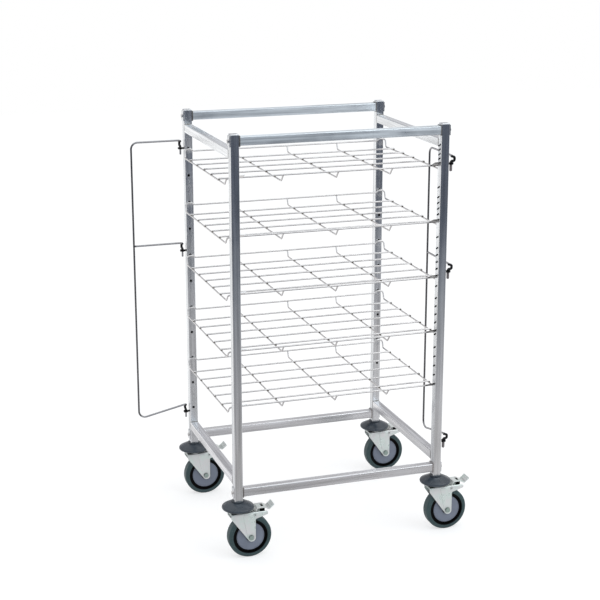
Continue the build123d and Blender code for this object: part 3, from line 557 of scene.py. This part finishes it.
class TROLLEY_OT_shelves(bpy.types.Operator):
    """Finish the wire shelves and set their spot welds"""
    bl_idname = "trolley.shelves"
    bl_label = "Wire shelves and spot welds"

    def execute(self, context):
        finishes, sizes = context.scene.trolley.finishes, context.scene.trolley.sizes
        shelves = sorted(name for name in frame["nodes"] if name.startswith("shelf_"))
        # the weld oxide colour also serves as the painted shade at the front wires' ends beside the right
        # post
        coat(shelves, shelf_wire("bright drawn stainless shelf wire", finishes.wire, finishes.oxide))
        low = np.array([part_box(name)[0].z for name in shelves])
        long_y = sizes.long_shift + sizes.long_spacing * np.arange(-2, 3)
        burnt_x = np.append(sizes.cross_spacing * np.arange(-1, 2), sizes.side_wire)
        bright_x = np.array([-sizes.side_wire])
        shape = nugget(sizes.nugget)
        for name, columns, material in (
                ("burnt_welds", burnt_x, weld_oxide("oxidised spot weld", finishes.oxide)),
                ("brushed_welds", bright_x, weld_oxide("brushed spot weld", finishes.brushed))):
            x, y, z = np.meshgrid(columns, long_y, low + sizes.weld_height, indexing="ij")
            places = np.stack([x, y, z], -1).reshape(-1, 3)
            make_piece(name, copies(*shape, places), material, "frame")
        return {"FINISHED"}


class TROLLEY_OT_gates(bpy.types.Operator):
    """Finish the gates and their eyes, and slip sleeves on the curls and on the right gate's pins"""
    bl_idname = "trolley.gates"
    bl_label = "Gates"

    def execute(self, context):
        finishes, sizes = context.scene.trolley.finishes, context.scene.trolley.sizes
        left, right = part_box("gate_left")[0].x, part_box("gate_right")[1].y
        # how far from the outer side of a gate's upright its painted shade starts and is full
        start, full = 12 * MM, 7 * MM
        coat(["gate_left"], gate_wire("drawn stainless left gate wire", finishes.gate, "X",
                                      left + start, left + full))
        coat(["gate_right"], gate_wire("drawn stainless right gate wire", finishes.gate, "Y",
                                       right - start, right - full))
        coat(["gate_eyes_left", "gate_eyes_right"],
             moulded("moulded black nylon eye", finishes.nylon, grain=0.8, rough=0.4, scuff=0.2, shine=0.25))
        # the curls' black sleeves are partly painted shade: their black stands in for the shade on the curls
        vinyl = moulded("dipped black vinyl", finishes.vinyl, grain=1.2, rough=0.35, scuff=0.1, shine=0.3)
        grey_vinyl = moulded("dipped grey vinyl", finishes.grey_vinyl, grain=1.2, rough=0.4, scuff=0.3,
                             shine=0.4)
        up = np.array([0.0, 0.0, 1.0])
        for side, bulge in (("left", (0.0, 1.0, 0.0)), ("right", (1.0, 0.0, 0.0))):
            pin, out = self.pin_of(side), np.array(bulge)
            sleeves = [self.curl_sleeve(pin + up * height, up, out, sizes) for height in sizes.gate_arms]
            make_piece(f"curl_sleeves_and_shade_{side}", joined(sleeves), vinyl, f"{side}_gate")
        tips = [self.pin_sleeve(self.pin_of("right") + up * height, up, sizes) for height in sizes.gate_arms]
        make_piece("pin_sleeves_right", joined(tips), grey_vinyl, "right_gate")
        return {"FINISHED"}

    def pin_of(self, side):
        """Point on the floor under a gate's pins."""
        return np.array([*JOINTS[f"{side}_gate_swing"]["pos_m"][:2], 0.0])

    def curl_sleeve(self, top, up, out, sizes):
        """Sleeve from below the foot of a curl, round its bulge and back, ending short of the arm's bend."""
        foot, shoulder = top - up * sizes.curl_rise, top - up * sizes.curl_shoulder
        corners = np.array([foot - up * sizes.sleeve_tail, foot, foot + out * sizes.curl_out,
                            shoulder + out * sizes.curl_out, top - 0.4 * up * sizes.curl_shoulder])
        path = bent_line(corners, [sizes.curl_bend] * 3)
        # points that fall together would leave a ring without a direction
        keep = np.concatenate([[True], np.linalg.norm(np.diff(path, axis=0), axis=1) > 1e-7])
        path = path[keep]
        radii = np.full(len(path), sizes.gate_wire + sizes.sleeve)
        # the direction to start a ring from may not lie along the path
        return carried(path, radii, sides=16, up=np.cross(up, out) + 0.2 * up)

    def pin_sleeve(self, top, up, sizes):
        """Straight sleeve on a pin, whose lower end rounds off as a quarter of an ellipse."""
        drop, rounding = np.linspace(0, 1, 25), 0.15
        past = np.maximum(drop - (1 - rounding), 0) / rounding
        radii = sizes.pin_sleeve * np.sqrt(np.clip(1 - past ** 2, 0.04, 1))
        path = top - up * (sizes.pin_top + drop[:, None] * (sizes.pin_end - sizes.pin_top))
        return carried(path, radii, sides=16, up=np.array([1.0, 0.0, 0.0]))


class TROLLEY_OT_fasteners(bpy.types.Operator):
    """Finish the rail bolts and nuts and crown the bolts' heads"""
    bl_idname = "trolley.fasteners"
    bl_label = "Rail bolts"

    def execute(self, context):
        finishes, sizes = context.scene.trolley.finishes, context.scene.trolley.sizes
        steel = drawn_wire("cold headed stainless bolt", finishes.wire)
        coat(["rail_bolts", "rail_nuts"], steel)
        low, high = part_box("rail_bolts")
        rail_z = [sum(corner.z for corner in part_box(f"rail_{level}_front")) / 2
                  for level in ("bottom", "top")]
        post_y = [sum(corner.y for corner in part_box(f"post_{end}_left")) / 2 for end in ("front", "rear")]
        y, z = (grid.ravel() for grid in np.meshgrid(post_y, rail_z))
        shapes = []
        for x, out in ((low.x, -1), (high.x, 1)):
            places = np.stack([np.full(len(y), x), y, z], -1)
            shapes.append(copies(*crown(sizes.crown_radius, sizes.crown_height, out), places))
        make_piece("bolt_crowns", joined(shapes), steel, "frame")
        return {"FINISHED"}


class TROLLEY_OT_casters(bpy.types.Operator):
    """Finish the casters and bumpers, mould the wheels' beads, bands and lips, and fit the pedals' buffers"""
    bl_idname = "trolley.casters"
    bl_label = "Casters and bumpers"

    def execute(self, context):
        finishes, sizes = context.scene.trolley.finishes, context.scene.trolley.sizes
        zinc = zinc_plate("bright zinc plated steel", finishes.zinc)
        dull_zinc = zinc_plate("dull zinc plated bolt", finishes.axle)
        nylon = moulded("moulded black nylon", finishes.nylon, grain=0.8, rough=0.42, scuff=0.05, shine=0.08)
        cover = moulded("moulded grey nylon", finishes.cover, grain=0.9, rough=0.5, scuff=0.3, shine=0.35)
        tyre = moulded("moulded grey tyre rubber", finishes.tyre, grain=1.1, rough=0.45, scuff=0.35,
                       shine=0.4)
        coat(["bumpers"], moulded("moulded bumper rubber", finishes.bumper, grain=1.0, rough=0.3, scuff=0.35,
                                  shine=0.7))
        coat(["swivel_rings"], nylon)
        a = np.linspace(0, 2 * np.pi, 13)[:-1]
        for corner in CORNERS:
            for piece, material in (("caster_stem", zinc), ("fork", zinc), ("brake_pedal", zinc),
                                    ("axle", dull_zinc), ("wheel", nylon), ("wheel_covers", cover),
                                    ("tyre", tyre)):
                coat([f"{piece}_{corner}"], material)
            low, high = (np.array(c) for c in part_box(f"tyre_{corner}"))
            cover_low, cover_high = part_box(f"wheel_covers_{corner}")
            centre, half = (low + high) / 2, (high[1] - low[1]) / 2
            edge = (cover_high.x - cover_low.x) / 2
            # each moulding's radius, distance from the wheel's middle, half width, height, material and slot
            mouldings = {
                "cover_beads": (edge - sizes.bead_inset, half - sizes.cover_depth, sizes.cover_bead,
                                sizes.cover_bead, cover, "grey_nylon"),
                "tyre_bands": (sizes.band_radius, half, sizes.band_width, sizes.band_height,
                               tyre, "tyre_rubber"),
                "rim_lips": (sizes.lip_radius, half, sizes.lip_width, sizes.lip_height,
                             nylon, "black_nylon")}
            for name, (radius, reach, width, height, material, slot) in mouldings.items():
                rings = [turned(centre, radius + width * np.cos(a), side * reach + height * np.sin(a))
                         for side in (-1, 1)]
                make_piece(f"{name}_{corner}", joined(rings), material, f"rolling_{corner}")
            # the black buffer under the hood is partly painted shade: its black stands in for the shade
            # inside the pedal's hood
            middle = np.array(JOINTS[f"brake_press_{corner}"]["pos_m"]) + np.array(sizes.buffer_place)
            block, faces = rounded_block(sizes.buffer)
            make_piece(f"pedal_buffer_and_shade_{corner}", (block + middle, faces), nylon, f"pedal_{corner}")
        return {"FINISHED"}


class TROLLEY_OT_studio(bpy.types.Operator):
    """Set the pale floor, the soft light and the camera"""
    bl_idname = "trolley.studio"
    bl_label = "Studio"

    def execute(self, context):
        scene, studio = context.scene, context.scene.trolley.studio
        scene.view_settings.view_transform = "Standard"
        self.lay_floor(scene, studio)
        self.light_world(scene, studio)
        self.hang_key_light(scene, studio)
        self.place_camera(scene, studio)
        return {"FINISHED"}

    def lay_floor(self, scene, studio):
        """Flat floor, white to the camera; glossy rays see it glow, a painted reflection fading to the
        studio's dark side.
        """
        lines = np.linspace(-9, 9, 7)
        x, y = np.meshgrid(lines, lines, indexing="ij")
        mesh = bpy.data.meshes.new("floor")
        mesh.from_pydata(np.stack([x, y, 0 * x], -1).reshape(-1, 3).tolist(), [],
                         grid_faces(*x.shape).tolist())
        floor = bpy.data.objects.new("floor", mesh)
        scene.collection.objects.link(floor)
        material, tree, shader = blank_material("painted studio floor")
        shader.inputs["Base Color"].default_value = (*studio.floor, 1)
        shader.inputs["Roughness"].default_value = 0.9
        shader.inputs["Specular IOR Level"].default_value = 0.0
        place = node(tree, "ShaderNodeTexCoord").outputs["Object"]
        parts = node(tree, "ShaderNodeSeparateXYZ", {0: place})
        # painted reflection: glossy rays see a glow graded from the dark side to white, patchy and brighter
        # to the sides
        far = node(tree, "ShaderNodeMapRange", {"Value": parts.outputs["Y"], "From Min": -3.6,
                                                "From Max": 1.0})
        fade = node(tree, "ShaderNodeValToRGB", {"Fac": far.outputs["Result"]})
        stops = fade.color_ramp.elements
        stops[0].position, stops[0].color = 0.0, (*studio.dusk, 1)
        stops[1].position, stops[1].color = 1.0, (1.0, 1.0, 1.0, 1)
        for spot, shade in ((0.1, "#7d8188"), (0.21, "#90949a"), (0.4, "#a3a3a7"), (0.58, "#c1bfbf"),
                            (0.72, "#c9c8ca"), (0.87, "#dcdcde")):
            stops.new(spot).color = (*linear(shade), 1)
        patch = node(tree, "ShaderNodeTexNoise", {"Vector": place, "Scale": 1.7, "Detail": 1.0})
        uneven = node(tree, "ShaderNodeMapRange", {"Value": patch.outputs["Fac"], "From Min": 0.3,
                                                   "From Max": 0.7, "To Min": 0.8, "To Max": 1.18})
        aside = node(tree, "ShaderNodeMath", {0: parts.outputs["X"]}, operation="ABSOLUTE")
        sides = node(tree, "ShaderNodeMapRange", {"Value": aside.outputs[0], "From Max": 0.7, "To Min": 0.86,
                                                  "To Max": 1.16})
        level = node(tree, "ShaderNodeMath", {0: uneven.outputs["Result"], 1: sides.outputs["Result"]},
                     operation="MULTIPLY")
        painted_floor_reflection = node(tree, "ShaderNodeEmission", {"Color": fade.outputs["Color"],
                                                     "Strength": level.outputs[0]})
        ray = node(tree, "ShaderNodeLightPath")
        # what the camera sees glows nearly white, and the paint under the glow still takes the shadow
        white = node(tree, "ShaderNodeEmission", {"Strength": 0.62})
        paint = node(tree, "ShaderNodeBsdfDiffuse", {"Color": (*linear("#bcbcbc"), 1)})
        lit = node(tree, "ShaderNodeAddShader", {0: white.outputs[0], 1: paint.outputs[0]})
        matt = node(tree, "ShaderNodeMixShader", {0: ray.outputs["Is Camera Ray"], 1: shader.outputs[0],
                                                  2: lit.outputs[0]})
        seen = node(tree, "ShaderNodeMixShader", {0: ray.outputs["Is Glossy Ray"], 1: matt.outputs[0],
                                                  2: painted_floor_reflection.outputs[0]})
        output = next(n for n in tree.nodes if n.type == "OUTPUT_MATERIAL")
        tree.links.new(seen.outputs[0], output.inputs["Surface"])
        mesh.materials.append(material)

    def light_world(self, scene, studio):
        """White to the camera; as light and in mirrors, a wall behind that is white at the foot, grey half
        way up and white overhead, and on the camera's side a dark low band under a pale blue sky."""
        world = bpy.data.worlds.new("studio")
        scene.world = world
        world.use_nodes = True
        tree = world.node_tree
        tree.nodes.clear()
        way = node(tree, "ShaderNodeTexCoord").outputs["Generated"]
        parts = node(tree, "ShaderNodeSeparateXYZ", {0: way})
        behind = node(tree, "ShaderNodeMapRange", {"Value": parts.outputs["Y"], "From Min": -0.55,
                                                   "From Max": 0.1}, interpolation_type="SMOOTHSTEP")
        above = node(tree, "ShaderNodeMapRange", {"Value": parts.outputs["Z"], "From Min": -0.05,
                                                  "From Max": 0.42}, interpolation_type="SMOOTHSTEP")
        back = node(tree, "ShaderNodeValToRGB", {"Fac": parts.outputs["Z"]})
        stops = back.color_ramp.elements
        stops[0].color, stops[1].position = (1.0, 1.0, 1.0, 1), 0.8
        for spot, shade in ((0.09, "#dcdcdf"), (0.42, "#b6b6ba")):
            stops.new(spot).color = (*linear(shade), 1)
        front = node(tree, "ShaderNodeMix", {0: above.outputs["Result"], 6: (*studio.dusk, 1),
                                             7: (*linear("#e3ebf2"), 1)}, data_type="RGBA")
        studio_light = node(tree, "ShaderNodeMix", {0: behind.outputs["Result"], 6: front.outputs[2],
                                                    7: back.outputs["Color"]}, data_type="RGBA")
        ray = node(tree, "ShaderNodeLightPath").outputs["Is Camera Ray"]
        seen = node(tree, "ShaderNodeMix", {0: ray, 6: studio_light.outputs[2], 7: (1.0, 1.0, 1.0, 1)},
                    data_type="RGBA")
        glow = node(tree, "ShaderNodeBackground", {"Color": seen.outputs[2], "Strength": 1.0})
        node(tree, "ShaderNodeOutputWorld", {"Surface": glow.outputs[0]})

    def hang_key_light(self, scene, studio):
        """Broad soft light, high on the camera's right, aimed at the middle of the rack."""
        data = bpy.data.lights.new("key light", "AREA")
        data.shape, data.size, data.energy = "SQUARE", studio.key_size, studio.key
        lamp = bpy.data.objects.new("key light", data)
        lamp.location = studio.key_place
        lamp.rotation_mode = "QUATERNION"
        lamp.rotation_quaternion = (Vector((0, 0, 0.6)) - lamp.location).to_track_quat("-Z", "Y")
        scene.collection.objects.link(lamp)

    def place_camera(self, scene, studio):
        """Camera at the photographed angle."""
        data = bpy.data.cameras.new("camera")
        data.lens, data.sensor_width = studio.focal, 36
        data.clip_end = 100
        camera = bpy.data.objects.new("camera", data)
        camera.location = studio.place
        camera.rotation_mode = "QUATERNION"
        camera.rotation_quaternion = Vector(studio.aim).to_track_quat("-Z", "Y")
        scene.collection.objects.link(camera)
        scene.camera = camera


class TROLLEY_PT_panel(bpy.types.Panel):
    """Steps that dress the trolley, and their settings"""
    bl_idname = "TROLLEY_PT_panel"
    bl_label = "Tray rack trolley"
    bl_space_type = "VIEW_3D"
    bl_region_type = "UI"
    bl_category = "Trolley"

    def draw(self, context):
        for step in STEPS:
            self.layout.operator(step.bl_idname)
        for group in ("finishes", "sizes", "studio"):
            settings = getattr(context.scene.trolley, group)
            box = self.layout.box()
            for name in settings.__annotations__:
                box.prop(settings, name)


STEPS = (TROLLEY_OT_tubes, TROLLEY_OT_shelves, TROLLEY_OT_gates, TROLLEY_OT_fasteners, TROLLEY_OT_casters,
         TROLLEY_OT_studio)
CLASSES = (TrolleyFinishes, TrolleySizes, TrolleyStudio, TrolleySettings, *STEPS, TROLLEY_PT_panel)


def register():
    for item in CLASSES:
        bpy.utils.register_class(item)
    bpy.types.Scene.trolley = PointerProperty(type=TrolleySettings)


def unregister():
    del bpy.types.Scene.trolley
    for item in reversed(CLASSES):
        bpy.utils.unregister_class(item)


def main():
    """Dress the trolley step by step."""
    register()
    bpy.ops.trolley.tubes()
    bpy.ops.trolley.shelves()
    bpy.ops.trolley.gates()
    bpy.ops.trolley.fasteners()
    bpy.ops.trolley.casters()
    bpy.ops.trolley.studio()


if __name__ == "__main__":
    main()
